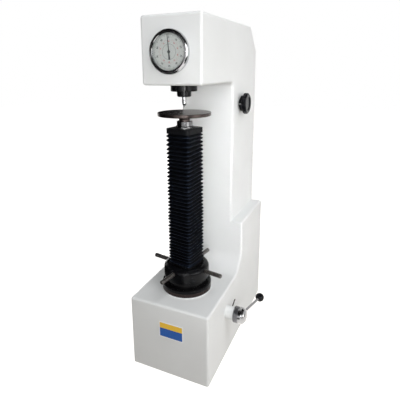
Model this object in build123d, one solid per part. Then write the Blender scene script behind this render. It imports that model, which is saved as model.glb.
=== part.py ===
"""Hardness tester, heightened bench type with a capstan-raised anvil and a dial gauge.

Millimetres, +Z up. The origin is on the axis of the elevating screw and the spindle, at the
underside of the base. The front of the machine faces -Y and its throat opens towards it.
"""
import os
from math import cos, pi, radians, sin, sqrt

from build123d import *

# --- frame casting ---------------------------------------------------------------------
base_width = 252.0
column_width = 176.0
base_front = 130.0        # screw axis to the front face of the base
head_front = 76.0         # screw axis to the front face of the head
throat = 165.0            # screw axis to the front face of the column
rear = 415.0              # screw axis to the rear face
base_height = 226.0
shoulder_height = 393.0   # ledges where the lower body narrows to the column
total_height = 1025.0
head_height = 178.0       # underside of the head to its top
wall = 9.0
floor_thickness = 10.0
base_fillet = 70.0        # sweep from the base's top up into the lower body
head_fillet = 12.0
edge_radius = 7.0
chamfer_run = 73.0        # slope at the rear of the top, along Y
chamfer_drop = 76.0       # the same slope, along Z
bench_hole_radius = 32.0  # the screw comes down through the floor and the bench

# --- covers ----------------------------------------------------------------------------
lid_width = 148.0
lid_front_margin = 14.0
lid_length = 396.0
lid_thickness = 4.0
lid_ledge = 15.0
cover_width = 132.0
cover_low = 122.0
cover_margin = 44.0       # top of the rear cover below the slope's foot
cover_thickness = 3.0
cover_ledge = 12.0
fit_gap = 0.3             # clearance round a part let into another, and under moving faces
screw_radius = 2.5
screw_head_radius = 4.6
screw_head_height = 2.4
screw_reach = 9.0

# --- elevating set ---------------------------------------------------------------------
running_gap = 0.05        # radial clearance of a shaft in its bore
screw_outer_radius = 25.0
screw_lead = 6.0          # rise of the anvil for each turn of the capstan
screw_depth = 56.0        # how far the screw hangs below the base's top at rest
keyway_width = 8.4
keyway_depth = 3.5
keyway_end = 28.0         # end of the keyway below the top of the screw
anvil_stand = 43.0        # top of the screw to the top of the anvil
anvil_radius = 76.0
anvil_thickness = 9.5
anvil_stem_radius = 16.0
anvil_stem_depth = 38.0   # how far the stem reaches down into the screw
anvil_flare = 10.0        # cone that joins the stem to the plate
neck_radius = 22.5
neck_height = 18.0
neck_flange_radius = 26.0
neck_flange_height = 5.0

sleeve_radius = 33.0
sleeve_depth = 76.0       # foot of the sleeve below the base's top
sleeve_flange_radius = 44.0
sleeve_flange_height = 12.0
key_radius = 4.0
key_depth = 26.0          # axis of the key below the base's top

ring_radius = 76.0        # fixed ring on the base
ring_height = 24.0
ring_chamfer = 3.0
ring_neck_radius = 63.0
ring_neck_height = 15.7
ring_bore_radius = 58.0
land_width = 2.6          # raised lip of the base round the ring
land_height = 2.0
ring_floor = 10.0
race_inner_radius = 34.5
race_outer_radius = 56.0
lower_race_height = 5.0
upper_race_height = 4.0
ball_radius = 4.5
ball_count = 12
ball_gap = 0.1

wheel_radius = 69.5
wheel_height = 43.0
wheel_shoulder = 14.0
nut_radius = 40.0
nut_flange_height = 12.0
lock_ring_radius = 50.0
lock_ring_height = 6.0
spoke_count = 4
spoke_radius = 6.4
spoke_reach = 125.0
spoke_root = 53.0
spoke_drop = 14.0         # spoke axis below the top of the wheel
spoke_angle = -10.0
spoke_tip_chamfer = 2.0

# --- bellows ---------------------------------------------------------------------------
bellows_ridge = 40.0      # half width over the folds
bellows_valley = 34.0
bellows_inner = 29.0
bellows_collar = 37.2
bellows_collar_height = 4.0
fold_count = 36
fold_stretch = 0.09       # the upper folds hang this much more open than the mean
bellows_angle = -10.0     # turn of the bellows and its frame about the screw
frame_half_width = 41.0
frame_thickness = 4.0
frame_hole_radius = 27.0
cap_half_width = 39.5
cap_corner_radius = 9.0
cap_height = 15.0
cap_wall = 2.0
cap_top_thickness = 3.0

# --- measuring set ---------------------------------------------------------------------
test_opening = 15.0       # gap between the indenter and the anvil at rest
indenter_drop = 61.0      # tip of the indenter below the head
indenter_radius = 5.8
indenter_socket = 24.0    # length of the shank held in the spindle
indenter_cone = 9.0
indenter_nose_radius = 2.4
spindle_radius = 12.0
guide_flange_radius = 37.0
guide_flange_height = 18.0
guide_step_radius = 20.0
guide_step_height = 15.0
guide_tube_radius = 26.0
guide_tube_rise = 58.0
guide_nut_radius = 34.0
guide_nut_height = 12.0
spindle_collar_radius = 18.0
spindle_collar_height = 10.0
lock_screw_radius = 2.0

fulcrum_arm_length = 18.0     # fulcrum to spindle: the short arm of the main lever
hanger_arm_length = 360.0     # fulcrum to weight hanger: the long arm
lever_half_width = 12.0
lever_depth = 22.0
lever_front = 12.0        # lever past the fulcrum
lever_rear = 10.0         # lever past the hanger
knife_height = 6.0
lever_rise = 119.0        # top of the lever above the head's underside
bracket_inner = 36.0
bracket_wall = 10.0
bracket_front = 20.0      # bracket reach in front of the fulcrum
bracket_bridge = 12.0
seat_height = 10.6
seat_half_width = 14.0
seat_half_depth = 9.0
groove_half_width = 5.2
groove_depth = 3.0

dial_rise = 84.5          # axis of the dial above the head's underside
bezel_radius = 56.5
bezel_depth = 11.4
bezel_crest_radius = 51.0
glass_radius = 47.5
glass_thickness = 1.8
glass_setback = 3.2
lip_radius = 46.0
face_radius = 46.3
face_thickness = 1.2
case_radius = 48.0
case_wall = 4.0
case_depth = 28.0
case_flange_radius = 54.5
case_flange_thickness = 4.0
case_neck_radius = 45.0
case_neck_height = 2.0
pointer_length = 44.0
pointer_tail = 20.0
pointer_tail_radius = 2.4
pointer_rest_angle = 4.6  # the pointer leans this far to the left at rest
pointer_thickness = 0.8
pointer_shaft_radius = 1.2
arm_collar_radius = 20.0
arm_height = 8.0
arm_width = 10.0
arm_reach = 47.0
plunger_radius = 3.0
plunger_y = -44.0
plunger_length = 58.0
rack_guide_width = 14.0
rack_guide_height = 15.0
rack_guide_rise = 13.5    # foot of the guide above the dial's axis
pointer_shaft_length = 26.1

# --- weights and dashpot ---------------------------------------------------------------
hanger_rod_radius = 6.0
hanger_foot_thickness = 9.5
hanger_clearance = 1.9    # over the highest point that the lifting cam reaches
weight_radius = 50.0
weight_height = 36.0
weight_count = 3
weight_gap = 0.4
stirrup_wall = 6.0
stirrup_depth = 16.0
dashpot_radius = 32.0
dashpot_wall = 4.0
dashpot_floor = 5.0
dashpot_foot = 70.0
dashpot_height = 140.0
dashpot_lid_height = 6.0
piston_height = 12.0
piston_rise = 50.0        # foot of the piston above the foot of the cylinder
tray_thickness = 12.0
tray_depth = 84.0
lug_width = 17.0
lug_height = 18.0

# --- loading handle and its linkage ----------------------------------------------------
handle_y = 21.0
handle_drop = 74.5        # shaft's axis below the base's top
handle_travel = 95.0
boss_radius = 20.0
boss_length = 26.0
boss_flange_radius = 28.0
shaft_radius = 10.0
hub_radius = 24.6
collar_length = 15.7
nose_length = 22.0
nose_straight = 8.0
groove_width = 2.2
groove_cut = 2.0
handle_rod_radius = 4.2
handle_length = 155.5
handle_root = 13.0
handle_offset = 171.5     # where the rod's axis meets the shaft's axis, along X
handle_tilt_out = 20.0    # rise of the ball's centre along X over the rod's length
handle_dip = 23.3         # fall of the ball's centre along Z
ball_knob_radius = 14.5
stop_pin_radius = 1.8
stop_pin_angle = 25.0
stop_pin_inset = 14.0     # pin's axis back from the boss's outer face
stop_pin_reach = 49.0
crank_throw = 35.0
crank_rest_angle = -125.0
crank_thickness = 12.0
crank_outer = 84.0        # outer face of the crank, along X
crank_pin_radius = 6.0
crank_pin_length = 16.0
crank_head_radius = 18.0
crank_eye_radius = 12.0
link_thickness = 12.0
link_width = 18.0
link_slack = 0.3
cam_inset = 85.0          # cam's axis in front of the rear face
cam_rise = 24.0           # cam's axis above the base's top
cam_shaft_radius = 8.0
cam_shaft_end = 34.0
cam_radius = 18.0
cam_throw = 8.0
cam_rest_angle = -60.0
cam_width = 14.0
cam_bracket_depth = 40.0
cam_bracket_height = 44.0
cam_bracket_width = 19.0

# --- load selector ---------------------------------------------------------------------
selector_inset = 70.0     # axis behind the face of the column
selector_drop = 68.5      # axis below the head's underside
selector_cam_throw = 6.0
skirt_radius = 25.0
skirt_thickness = 4.0
skirt_stand = 5.6         # skirt's back face off the column
skirt_hub_radius = 15.0
knob_radius = 33.5
knob_neck_radius = 16.0
knob_neck_length = 5.4
knob_rim_length = 13.5
knob_dish_radius = 24.0
knob_dish_depth = 3.0
flute_count = 10
flute_radius = 5.0
flute_depth = 1.6
selector_shaft_radius = 8.0
selector_shaft_end = 40.0
selector_cam_radius = 17.0
selector_cam_width = 12.0
bush_radius = 12.0
bush_flange_radius = 18.0
bush_reach = 19.0
bush_flange_thickness = 9.0

# --- derived places --------------------------------------------------------------------
head_underside = total_height - head_height
dial_height = head_underside + dial_rise
indenter_tip = head_underside - indenter_drop
anvil_top = indenter_tip - test_opening
screw_top = anvil_top - anvil_stand
screw_foot = base_height - screw_depth
keyway_top = screw_top - keyway_end
sleeve_foot = base_height - sleeve_depth
key_height = base_height - key_depth
handle_z = base_height - handle_drop
cam_y = rear - cam_inset
cam_z = base_height + cam_rise
selector_y = throat + selector_inset
selector_z = head_underside - selector_drop
guide_tube_top = head_underside + guide_tube_rise
lever_top = head_underside + lever_rise
cover_high = total_height - chamfer_drop - cover_margin
base_half = base_width / 2
column_half = column_width / 2
lid_front = -head_front + lid_front_margin
lid_rear = lid_front + lid_length
cover_seat = rear - cover_thickness
anvil_foot = anvil_top - anvil_thickness
ring_top = base_height + ring_height
neck_top = ring_top + ring_neck_height
race_seat = base_height + ring_floor
ball_level = race_seat + lower_race_height + ball_gap + ball_radius
ball_pitch_radius = (race_inner_radius + race_outer_radius) / 2
upper_race_seat = ball_level + ball_radius + ball_gap
nut_foot = upper_race_seat + upper_race_height
wheel_foot = nut_foot + nut_flange_height
wheel_top = wheel_foot + wheel_height
spoke_level = wheel_top - spoke_drop
frame_foot = wheel_top + fit_gap
bellows_foot = frame_foot + frame_thickness
cap_top = screw_top - 1.0
cap_foot = cap_top - cap_height
bellows_top = cap_top - cap_top_thickness
guide_flange_foot = head_underside - guide_flange_height
guide_foot = guide_flange_foot - guide_step_height
spindle_foot = guide_foot + 2.0
socket_top = spindle_foot + indenter_socket
head_floor = head_underside + wall
lever_foot = lever_top - lever_depth
knife_top = lever_top + knife_height
knife_foot = lever_foot - knife_height
spindle_top = knife_foot - fit_gap
collar_foot = guide_tube_top + fit_gap
arm_foot = collar_foot + spindle_collar_height + 3.0
fulcrum_y = -fulcrum_arm_length
hanger_y = fulcrum_y + hanger_arm_length
cam_reach = cam_radius + cam_throw * sin((cam_rest_angle + handle_travel) * pi / 180)
hanger_foot = cam_z + cam_reach + hanger_clearance
piston_level = dashpot_foot + piston_rise
fulcrum_level = knife_top + fit_gap + 0.1
seat_foot = fulcrum_level - groove_depth
bracket_top = seat_foot + seat_height + bracket_bridge
panel = -head_front       # front face of the head
case_rim = panel - case_flange_thickness
neck_rim = case_rim - case_neck_height
bezel_back = case_rim - fit_gap
bezel_front = bezel_back - bezel_depth
face_back = neck_rim
face_front = face_back - face_thickness
glass_front = bezel_front + glass_setback
glass_back = glass_front + glass_thickness
pointer_back = face_front - 1.5
boss_face = base_half + boss_length
skirt_face = column_half + fit_gap + skirt_stand + skirt_thickness
collar_face = boss_face + fit_gap
nose_face = collar_face + collar_length
nose_tip = nose_face + nose_length
crank_inner = crank_outer - crank_thickness
link_outer = crank_inner - 2.0
link_inner = link_outer - link_thickness
pin_end = crank_inner - crank_pin_length
hanger_foot_top = hanger_foot + hanger_foot_thickness
lid_level = total_height - lid_thickness


# --- helpers ---------------------------------------------------------------------------
def block(x_range, y_range, z_range):
    """A box between two corners, given as one pair of limits for each axis."""
    centre = [(low + high) / 2 for low, high in (x_range, y_range, z_range)]
    size = [high - low for low, high in (x_range, y_range, z_range)]
    return Pos(*centre) * Box(*size)


def post(radius, low, high, x=0.0, y=0.0):
    """A cylinder along Z."""
    return Pos(x, y, (low + high) / 2) * Cylinder(radius, high - low)


def bar(radius, left, right, y, z):
    """A cylinder along X."""
    return Pos((left + right) / 2, y, z) * Rot(0, 90, 0) * Cylinder(radius, right - left)


def stub(radius, front, back, x, z):
    """A cylinder along Y."""
    return Pos(x, (front + back) / 2, z) * Rot(90, 0, 0) * Cylinder(radius, back - front)


def rod_between(radius, start, end):
    """A cylinder from one point to another."""
    start, end = Vector(*start), Vector(*end)
    run = end - start
    ends = (Align.CENTER, Align.CENTER, Align.MIN)
    return Plane(origin=start, z_dir=run) * Cylinder(radius, run.length, align=ends)


def turned_z(points, x=0.0, y=0.0):
    """A solid turned about a vertical axis, from (radius, height) points."""
    face = make_face(Plane.XZ * Polyline(*points, close=True))
    return Pos(x, y, 0) * revolve(face, Axis.Z)


def turned_x(points, y, z):
    """A solid turned about an axis along X, from (x, radius) points."""
    face = make_face(Polyline(*points, close=True))
    return Pos(0, y, z) * revolve(face, Axis.X)


def turned_y(points, x, z):
    """A solid turned about an axis along Y, from (radius, y) points."""
    face = make_face(Polyline(*points, close=True))
    return Pos(x, 0, z) * revolve(face, Axis.Y)


def side_profile(points, fillet_at=None, radius=0.0):
    """A face in the Y-Z plane, with one corner rounded where that is asked for."""
    face = make_face(Plane.YZ * Polyline(*points, close=True)).face()
    if fillet_at is None:
        return face
    corner = Vector(0, *fillet_at)
    nearest = min(face.vertices(), key=lambda v: (Vector(*v) - corner).length)
    return face.fillet_2d(radius, [nearest])


def prism(face, half):
    """The face of a side profile, extruded to both sides."""
    return extrude(face, amount=half, both=True)


def crank_point(y, z, throw, angle):
    """A point on a circle about an axis along X."""
    return y + throw * cos(radians(angle)), z + throw * sin(radians(angle))


def save(shape, node):
    export_step(shape, f"parts/{node}.step")


# --- frame casting ---------------------------------------------------------------------
def lower_profile(inset, foot):
    front, back = -base_front + inset, rear - inset
    column, deck, ledge = throat + inset, base_height - inset, shoulder_height - inset
    outline = [(front, foot), (back, foot), (back, ledge), (column, ledge),
               (column, deck), (front, deck)]
    return side_profile(outline, (column, deck), base_fillet + inset)


def upper_profile(inset, foot):
    front, back = -head_front + inset, rear - inset
    column, roof, under = throat + inset, total_height - inset, head_underside + inset
    outline = [(column, foot), (back, foot), (back, roof - chamfer_drop),
               (back - chamfer_run, roof), (front, roof), (front, under), (column, under)]
    return side_profile(outline, (column, under), head_fillet + inset)


def rounded_prism(face, half, foot, cross_corners):
    """A side profile made solid, with its outline and the named cross edges rounded."""
    solid = prism(face, half)
    outline = [e for e in solid.edges()
               if abs(abs(e.center().X) - half) < 0.01 and e.center().Z > foot + 0.01]
    cross = [e for e in solid.edges()
             if abs(e.center().X) < 0.01
             and any(abs(e.center().Y - y) + abs(e.center().Z - z) < 0.01
                     for y, z in cross_corners)]
    return fillet(outline + cross, edge_radius)


def lid_outline(margin, low, high):
    half = lid_width / 2 - margin
    return block((-half, half), (lid_front + margin, lid_rear - margin), (low, high))


def cover_outline(margin, front, back):
    half = cover_width / 2 - margin
    return block((-half, half), (front, back), (cover_low + margin, cover_high - margin))


def lid_screw_places():
    inset = lid_ledge / 2
    half = lid_width / 2 - inset
    middle = (lid_front + lid_rear) / 2
    rows = (lid_front + inset, middle, lid_rear - inset)
    return [(side * half, y) for side in (-1, 1) for y in rows]


def cover_screw_places():
    inset = cover_ledge / 2
    half = cover_width / 2 - inset
    middle = (cover_low + cover_high) / 2
    rows = (cover_low + inset, middle, cover_high - inset)
    return [(side * half, z) for side in (-1, 1) for z in rows]


def main_frame():
    low_corners = [(-base_front, base_height), (throat, shoulder_height),
                   (rear, shoulder_height)]
    high_corners = [(-head_front, total_height), (-head_front, head_underside),
                    (rear - chamfer_run, total_height), (rear, total_height - chamfer_drop)]
    overlap_foot = base_height + base_fillet + wall
    lower = rounded_prism(lower_profile(0, 0), base_half, 0, low_corners)
    upper = rounded_prism(upper_profile(0, overlap_foot), column_half, overlap_foot,
                          high_corners)
    frame = lower + upper
    lip, lip_top = ring_radius + land_width, base_height + land_height
    frame += turned_z([(ring_radius + running_gap, base_height - 1), (lip, base_height - 1),
                       (lip, lip_top - 0.8), (lip - 0.8, lip_top),
                       (ring_radius + running_gap, lip_top)])
    frame -= prism(lower_profile(wall, floor_thickness), base_half - wall)
    frame -= prism(upper_profile(wall, overlap_foot - wall), column_half - wall)
    # lugs that carry the dashpot's tray
    for side in (-1, 1):
        inner, outer = base_half - wall - lug_width, base_half - wall / 2
        limits = sorted((side * inner, side * outer))
        tray_y = (hanger_y - tray_depth / 2, hanger_y + tray_depth / 2)
        lug_top = dashpot_foot - tray_thickness
        frame += block(limits, tray_y, (lug_top - lug_height, lug_top))
    # openings for the lid and the rear cover
    frame -= lid_outline(0, lid_level, total_height + 1)
    frame -= lid_outline(lid_ledge, total_height - 2 * wall, total_height)
    frame -= cover_outline(0, cover_seat, rear + 1)
    frame -= cover_outline(cover_ledge, rear - 2 * wall, rear)
    # bores for the screw, the spindle, the dial, the handle and the selector
    frame -= post(bench_hole_radius, -1, floor_thickness + 1)
    frame -= post(sleeve_radius + running_gap, base_height - 2 * wall, base_height + 1)
    frame -= post(guide_tube_radius + running_gap, head_underside - 1, head_floor + 1)
    frame -= stub(case_radius + running_gap, panel - 1, panel + wall + 1, 0, dial_height)
    frame -= bar(boss_radius + running_gap, base_half - wall - 1, base_half + 1,
                 handle_y, handle_z)
    frame -= bar(bush_radius + running_gap, column_half - wall - 1, column_half + 1,
                 selector_y, selector_z)
    for x, y in lid_screw_places():
        frame -= post(screw_radius, total_height - screw_reach, total_height, x, y)
    for x, z in cover_screw_places():
        frame -= stub(screw_radius, rear - screw_reach, rear, x, z)
    return frame


def top_cover():
    lid = lid_outline(fit_gap, lid_level, total_height)
    for x, y in lid_screw_places():
        lid -= post(screw_radius, lid_level - 1, total_height + 1, x, y)
        lid -= post(screw_head_radius + fit_gap, total_height - screw_head_height,
                    total_height + 1, x, y)
    return lid


def top_cover_screws():
    screws = []
    for x, y in lid_screw_places():
        head = post(screw_head_radius, total_height - screw_head_height, total_height, x, y)
        shank = post(screw_radius - running_gap, total_height - screw_reach + 1,
                     total_height - screw_head_height, x, y)
        screws.append(head + shank)
    return Compound(children=screws)


def rear_cover():
    plate = cover_outline(fit_gap, cover_seat, rear)
    for x, z in cover_screw_places():
        plate -= stub(screw_radius, cover_seat - 1, rear + 1, x, z)
    return plate


def rear_cover_screws():
    screws = []
    for x, z in cover_screw_places():
        head = stub(screw_head_radius, rear, rear + screw_head_height, x, z)
        shank = stub(screw_radius - running_gap, rear - screw_reach + 1, rear, x, z)
        screws.append(head + shank)
    return Compound(children=screws)


# --- elevating set ---------------------------------------------------------------------
def base_ring():
    foot, top, rim = base_height, ring_top, ring_radius
    ring = turned_z([
        (race_inner_radius, foot), (rim - 1, foot), (rim, foot + 1), (rim, top - ring_chamfer),
        (rim - ring_chamfer, top), (ring_neck_radius, top), (ring_neck_radius, neck_top),
        (ring_bore_radius, neck_top), (ring_bore_radius, race_seat),
        (race_inner_radius, race_seat)])
    return ring


def race(foot, height):
    return post(race_outer_radius, foot, foot + height) - post(
        race_inner_radius, foot - 1, foot + height + 1)


def thrust_balls():
    step = 2 * pi / ball_count
    return Compound(children=[
        Pos(ball_pitch_radius * cos(i * step), ball_pitch_radius * sin(i * step), ball_level)
        * Sphere(ball_radius) for i in range(ball_count)])


def screw_sleeve():
    deck = base_height - wall
    sleeve = post(sleeve_radius, sleeve_foot, race_seat)
    sleeve += post(sleeve_flange_radius, deck - sleeve_flange_height, deck)
    sleeve -= post(screw_outer_radius + running_gap, sleeve_foot - 1, race_seat + 1)
    sleeve -= stub(key_radius, 0, sleeve_radius + 1, 0, key_height)
    return sleeve


def guide_key():
    inner = screw_outer_radius - keyway_depth + fit_gap
    return stub(key_radius - running_gap, inner, sleeve_radius + key_radius, 0, key_height)


def elevating_screw():
    screw = post(screw_outer_radius, screw_foot, screw_top)
    screw -= block((-keyway_width / 2, keyway_width / 2),
                   (screw_outer_radius - keyway_depth, screw_outer_radius + 1),
                   (screw_foot - 1, keyway_top))
    screw -= post(anvil_stem_radius + running_gap, screw_top - anvil_stem_depth - 1,
                  screw_top + 1)
    return chamfer(screw.edges().group_by(Axis.Z)[0].filter_by(GeomType.CIRCLE), 1.5)


def screw_head():
    step, top = screw_top + neck_flange_height, screw_top + neck_height
    bore = anvil_stem_radius + running_gap
    return turned_z([
        (bore, screw_top), (neck_flange_radius, screw_top), (neck_flange_radius, step - 1.5),
        (neck_radius, step), (neck_radius, top - 1), (neck_radius - 1, top), (bore, top)])


def anvil():
    rim, stem = anvil_radius, anvil_stem_radius
    return turned_z([
        (0, screw_top - anvil_stem_depth), (stem, screw_top - anvil_stem_depth),
        (stem, anvil_foot - anvil_flare), (stem + anvil_flare, anvil_foot),
        (rim - 1.2, anvil_foot),
        (rim, anvil_foot + 1.2), (rim, anvil_top - 0.8), (rim - 0.8, anvil_top),
        (0, anvil_top)])


def lifting_nut():
    nut = post(race_outer_radius, nut_foot, wheel_foot)
    nut += post(nut_radius, nut_foot, wheel_top)
    return nut - post(screw_outer_radius + running_gap, nut_foot - 1, wheel_top + 1)


def capstan_wheel():
    arc_centre = (wheel_radius - wheel_shoulder, wheel_top - wheel_shoulder)
    shoulder = [(arc_centre[0] + wheel_shoulder * sin(radians(a)),
                 arc_centre[1] + wheel_shoulder * cos(radians(a)))
                for a in range(90, -1, -15)]
    bore, seat = nut_radius + running_gap, wheel_top - lock_ring_height
    wheel = turned_z([(bore, wheel_foot), (wheel_radius - 1.5, wheel_foot),
                      (wheel_radius, wheel_foot + 1.5), *shoulder,
                      (lock_ring_radius, wheel_top), (lock_ring_radius, seat), (bore, seat)])
    for angle in spoke_angles():
        start, end = spoke_ends(angle, spoke_root - 0.5, wheel_radius + 5)
        wheel -= rod_between(spoke_radius + running_gap, start, end)
    return wheel


def capstan_lock_ring():
    seat = wheel_top - lock_ring_height
    return post(lock_ring_radius - fit_gap, seat, wheel_top) - post(
        nut_radius + running_gap, seat - 1, wheel_top + 1)


def spoke_angles():
    return [spoke_angle + i * 360 / spoke_count for i in range(spoke_count)]


def spoke_ends(angle, inner, outer):
    along = (cos(radians(angle)), sin(radians(angle)))
    return [(reach * along[0], reach * along[1], spoke_level) for reach in (inner, outer)]


def capstan_spokes():
    spokes = []
    for angle in spoke_angles():
        start, end = spoke_ends(angle, spoke_root, spoke_reach)
        spoke = rod_between(spoke_radius, start, end)
        tip = max(spoke.edges().filter_by(GeomType.CIRCLE),
                  key=lambda e: Vector(*e.center()).length)
        spokes.append(chamfer(tip, spoke_tip_chamfer))
    return Compound(children=spokes)


# --- bellows ---------------------------------------------------------------------------
def square(half, level, corner=0.0):
    outline = Rectangle(2 * half, 2 * half) if corner == 0 else RectangleRounded(
        2 * half, 2 * half, corner)
    return Pos(0, 0, level) * outline


def bellows():
    start = bellows_foot + bellows_collar_height
    end = cap_foot - 1.0
    levels = [start + (end - start) * share * (1 - fold_stretch * (1 - share))
              for share in (fold / fold_count for fold in range(fold_count + 1))]
    sections = [square(bellows_collar, bellows_foot), square(bellows_collar, start)]
    for fold in range(fold_count):
        sections.append(square(bellows_ridge, (levels[fold] + levels[fold + 1]) / 2))
        sections.append(square(bellows_valley, levels[fold + 1]))
    sections.append(square(bellows_valley, end + 1.0))
    sections.append(square(bellows_valley, bellows_top))
    folds = loft([s.face() for s in sections], ruled=True)
    hollow = prism_z(bellows_inner, bellows_foot - 1, bellows_top + 1)
    return Rot(0, 0, bellows_angle) * (folds - hollow)


def prism_z(half, low, high, corner=0.0):
    """An upright square prism."""
    return extrude(square(half, low, corner), amount=high - low)


def bellows_base_frame():
    plate = prism_z(frame_half_width, frame_foot, bellows_foot, cap_corner_radius)
    plate -= post(frame_hole_radius, frame_foot - 1, bellows_foot + 1)
    return Rot(0, 0, bellows_angle) * plate


def bellows_cap():
    cap = prism_z(cap_half_width, cap_foot, cap_top, cap_corner_radius)
    cap = fillet(cap.edges().group_by(Axis.Z)[-1], 1.5)
    cap -= prism_z(cap_half_width - cap_wall, cap_foot - 1, bellows_top,
                   cap_corner_radius - cap_wall)
    cap -= post(screw_outer_radius + running_gap, bellows_top - 1, cap_top + 1)
    return Rot(0, 0, bellows_angle) * cap


# --- measuring set ---------------------------------------------------------------------
def spindle_guide():
    bore = spindle_radius + running_gap
    return turned_z([
        (bore, guide_foot), (guide_step_radius - 1.5, guide_foot),
        (guide_step_radius, guide_foot + 1.5), (guide_step_radius, guide_flange_foot),
        (guide_flange_radius - 1, guide_flange_foot),
        (guide_flange_radius, guide_flange_foot + 1), (guide_flange_radius, head_underside),
        (guide_tube_radius, head_underside), (guide_tube_radius, guide_tube_top),
        (bore, guide_tube_top)])


def guide_lock_nut():
    return post(guide_nut_radius, head_floor, head_floor + guide_nut_height) - post(
        guide_tube_radius + running_gap, head_floor - 1, head_floor + guide_nut_height + 1)


def spindle():
    shaft = post(spindle_radius, spindle_foot, spindle_top)
    shaft += post(spindle_collar_radius, collar_foot, collar_foot + spindle_collar_height)
    shaft -= post(indenter_radius + running_gap, spindle_foot - 1, socket_top)
    middle = (spindle_foot + socket_top) / 2
    return shaft - stub(lock_screw_radius + running_gap, -spindle_radius - 1, 0, 0, middle)


def indenter():
    nose = indenter_tip + indenter_cone - 5
    return turned_z([
        (0, indenter_tip), (indenter_nose_radius, nose - 1.5),
        (indenter_nose_radius, nose), (indenter_radius - 1.2, nose),
        (indenter_radius, nose + 4), (indenter_radius, socket_top - 0.2),
        (0, socket_top - 0.2)])


def indenter_lock_screw():
    middle = (spindle_foot + socket_top) / 2
    return stub(lock_screw_radius, -spindle_radius + 0.3,
                -indenter_radius - running_gap, 0, middle)


def main_lever():
    return block((-lever_half_width, lever_half_width),
                 (fulcrum_y - lever_front, hanger_y + lever_rear), (lever_foot, lever_top))


def knife(y, seat, tip):
    """A triangular knife edge across the lever, from its seat on the lever to its tip."""
    half = abs(tip - seat)
    face = side_profile([(y - half, seat), (y + half, seat), (y, tip)])
    return prism(face, lever_half_width)


def knife_edges():
    return Compound(children=[
        knife(fulcrum_y, lever_top, knife_top), knife(0, lever_foot, knife_foot),
        knife(hanger_y, lever_top, knife_top)])


def fulcrum_bracket():
    back = fulcrum_y + bracket_front
    front = fulcrum_y - bracket_front
    outer = bracket_inner + bracket_wall
    arch = block((-outer, outer), (front, back), (head_floor, bracket_top))
    arch -= block((-bracket_inner, bracket_inner), (front - 1, back + 1),
                  (head_floor - 1, bracket_top - bracket_bridge))
    return arch


def fulcrum_seat():
    top = seat_foot + seat_height
    seat = block((-seat_half_width, seat_half_width),
                 (fulcrum_y - seat_half_depth, fulcrum_y + seat_half_depth),
                 (seat_foot, top))
    groove = side_profile([(fulcrum_y - groove_half_width, seat_foot),
                           (fulcrum_y + groove_half_width, seat_foot),
                           (fulcrum_y, fulcrum_level)])
    return seat - prism(groove, seat_half_width + 1)


def indicator_arm():
    top = arm_foot + arm_height
    arm = post(arm_collar_radius, arm_foot, top)
    arm += block((-arm_width / 2, arm_width / 2), (-arm_reach, -spindle_radius),
                 (arm_foot, top))
    return arm - post(spindle_radius + running_gap, arm_foot - 1, top + 1)


def indicator_plunger():
    foot = arm_foot + arm_height
    return post(plunger_radius, foot, foot + plunger_length, 0, plunger_y)


def dial_case():
    inner, back = case_radius - case_wall, panel + case_depth
    mouth = case_neck_radius - case_wall
    case = turned_y([
        (0, back), (case_radius, back), (case_radius, panel), (case_flange_radius, panel),
        (case_flange_radius, case_rim), (case_neck_radius, case_rim),
        (case_neck_radius, neck_rim), (mouth, neck_rim), (mouth, panel), (inner, panel),
        (inner, back - case_wall), (0, back - case_wall)], 0, dial_height)
    # bridge that bears the pointer's shaft, and the rear guide of the plunger's rack
    case += block((-inner - 1, inner + 1), (panel + 2, panel + 5),
                  (dial_height - 6, dial_height + 6))
    case -= stub(pointer_shaft_radius + running_gap, panel - 1, panel + 6, 0, dial_height)
    half = rack_guide_width / 2
    low = dial_height + rack_guide_rise
    case += block((-half, half), (back - 1, plunger_y + plunger_radius + 3),
                  (low, low + rack_guide_height))
    return case - post(plunger_radius + running_gap, low - 1, low + rack_guide_height + 1,
                       0, plunger_y)


def dial_bezel():
    inner, bore = case_neck_radius + running_gap, face_radius + 0.2
    rise, reach = bezel_depth - 4, bezel_radius - bezel_crest_radius
    shoulder = [(bezel_crest_radius + reach * cos(radians(a)),
                 bezel_front + rise * (1 - sin(radians(a)))) for a in range(0, 91, 15)]
    return turned_y([
        (inner, bezel_back), (bezel_radius - 1, bezel_back), (bezel_radius, bezel_back - 1),
        *shoulder, (lip_radius + 1.4, bezel_front + 0.3), (lip_radius, bezel_front + 1.6),
        (lip_radius, glass_front), (glass_radius + 0.1, glass_front),
        (glass_radius + 0.1, glass_back), (bore, glass_back), (bore, face_back),
        (inner, face_back)], 0, dial_height)


def dial_glass():
    return stub(glass_radius, glass_front + running_gap, glass_back - running_gap,
                0, dial_height)


def dial_face():
    face = stub(face_radius, face_front, face_back, 0, dial_height)
    return face - stub(pointer_shaft_radius + fit_gap, face_front - 1, face_back + 1,
                       0, dial_height)


def pointer():
    front = pointer_back - pointer_thickness
    tail = pointer_tail - pointer_tail_radius
    blade = make_face(Plane.XZ * Polyline(
        (-pointer_tail_radius, -tail), (pointer_tail_radius, -tail), (1.6, -3), (1.1, 3),
        (0.35, pointer_length), (-0.35, pointer_length), (-1.1, 3), (-1.6, -3), close=True))
    hand = Pos(0, pointer_back, 0) * extrude(blade, amount=pointer_thickness)
    hand += stub(pointer_tail_radius, front, pointer_back, 0, -tail)
    hand += stub(4.0, front, pointer_back, 0, 0)
    hand -= stub(pointer_shaft_radius + 0.02, front - 1, pointer_back + 1, 0, 0)
    return Pos(0, 0, dial_height) * Rot(0, -pointer_rest_angle, 0) * hand


def pointer_shaft():
    front = pointer_back - pointer_thickness - 0.6
    back = front + pointer_shaft_length
    shaft = stub(pointer_shaft_radius, front, back, 0, dial_height)
    return shaft + stub(5.0, back - 7, back - 4, 0, dial_height)


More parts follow.
